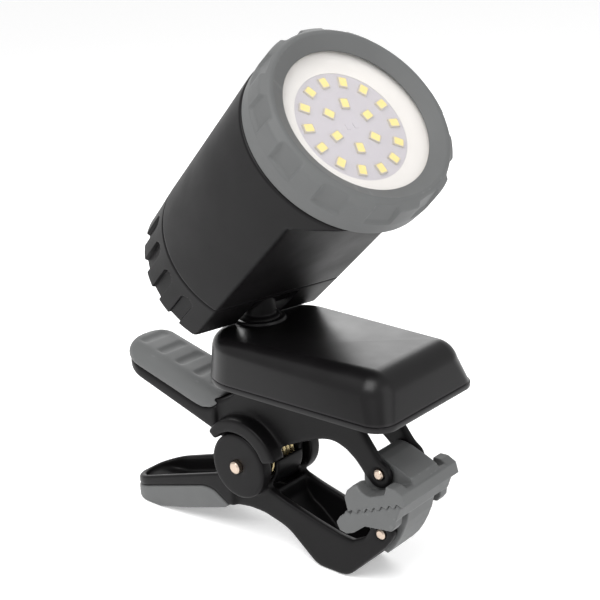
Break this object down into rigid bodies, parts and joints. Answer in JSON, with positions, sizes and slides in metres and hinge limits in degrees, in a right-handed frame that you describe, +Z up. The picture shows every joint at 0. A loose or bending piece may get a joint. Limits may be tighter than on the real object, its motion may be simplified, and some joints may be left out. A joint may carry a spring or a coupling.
{
  "type": "clip-on reading lamp",
  "caption": "Clip-on reading lamp: sprung clamp with swivelling rubber jaw pads, battery box, swivel neck and a tilting barrel head with a ring of LEDs behind a clear lens.",
  "frame": {"origin": "middle of the jaws' closed grip", "axes": "+X out of the jaws, +Y sideways along the clamp's pins, +Z up and square to the battery box's top"},
  "size_m": [0.1334, 0.074, 0.173],
  "materials": {
    "black_plastic": "fine satin texture, near black",
    "grey_rubber": "matt mid-grey moulded rubber",
    "pin_metal": "plain pin ends with a warm tint",
    "spring_wire": "plated spring wire",
    "zinc": "plated screws and contacts",
    "clear_lens": "clear and flat",
    "white_dish": "glossy off-white",
    "led_white_board": "lilac-grey solder mask",
    "led_yellow": "yellow phosphor in a pale body",
    "alloy": "plain",
    "green_board": "solder mask",
    "cell_sleeve": "printed-free shrink sleeve",
    "seal_black": "soft seal"
  },
  "bodies": {
    "upper_clamp": {"upper_lever": "black_plastic", "upper_grip": "grey_rubber", "upper_jaw_pin": "pin_metal", "torsion_spring": "spring_wire", "box_shell": "black_plastic", "box_base": "black_plastic", "shell_screws": "zinc", "lever_screws": "zinc", "battery_cell_1": "cell_sleeve", "battery_cell_2": "cell_sleeve", "battery_cell_3": "cell_sleeve", "rear_contacts": "zinc", "front_contacts": "zinc", "neck_washer": "zinc"},
    "lower_clamp": {"lower_lever": "black_plastic", "lower_grip": "grey_rubber", "main_pin": "pin_metal", "lower_jaw_pin": "pin_metal"},
    "upper_pad": {"upper_jaw_pad": "grey_rubber"},
    "lower_pad": {"lower_jaw_pad": "grey_rubber"},
    "neck": {"neck": "black_plastic", "neck_retainer": "zinc"},
    "head": {"barrel": "black_plastic", "bezel_ring": "grey_rubber", "lens": "clear_lens", "lens_seal": "seal_black", "reflector": "white_dish", "led_board": "led_white_board", "led_chips": "led_yellow", "heat_sink": "alloy", "standoffs": "zinc", "driver_board": "green_board", "rear_cap": "black_plastic", "cap_screws": "zinc", "switch_body": "black_plastic", "tilt_pin": "zinc"},
    "button": {"switch_button": "grey_rubber"}
  },
  "joints": [
    {"name": "clamp_open", "type": "hinge", "parent": "upper_clamp", "child": "lower_clamp", "pos_m": [-0.0568, 0, -0.0015], "axis": [0, 1, 0], "range_deg": [0, 35], "stiffness_Nm_per_rad": 0.9, "springref_deg": -34.38, "deforming": ["torsion_spring"]},
    {"name": "upper_pad_swivel", "type": "hinge", "parent": "upper_clamp", "child": "upper_pad", "pos_m": [-0.0015, 0, 0.0093], "axis": [0, 1, 0], "range_deg": [0, 17.5]},
    {"name": "lower_pad_swivel", "type": "hinge", "parent": "lower_clamp", "child": "lower_pad", "pos_m": [-0.0012, 0, -0.0109], "axis": [0, 1, 0], "range_deg": [-17.5, 0]},
    {"name": "head_pan", "type": "hinge", "parent": "upper_clamp", "child": "neck", "pos_m": [-0.0568, 0, 0.0465], "axis": [0, 0, 1], "range_deg": [-159, 181]},
    {"name": "head_tilt", "type": "hinge", "parent": "neck", "child": "head", "pos_m": [-0.0568, 0, 0.057], "axis": [-0.1908, -0.9816, 0], "range_deg": [-31, 49]},
    {"name": "button_press", "type": "slide", "parent": "head", "child": "button", "axis": [0.7408, -0.144, 0.6561], "range_m": [0, 0.0012], "stiffness_N_per_m": 900, "springref_m": -0.001}
  ],
  "couplings": [
    {"joint": "upper_pad_swivel", "follows": "clamp_open", "ratio": 0.5},
    {"joint": "lower_pad_swivel", "follows": "clamp_open", "ratio": -0.5}
  ]
}
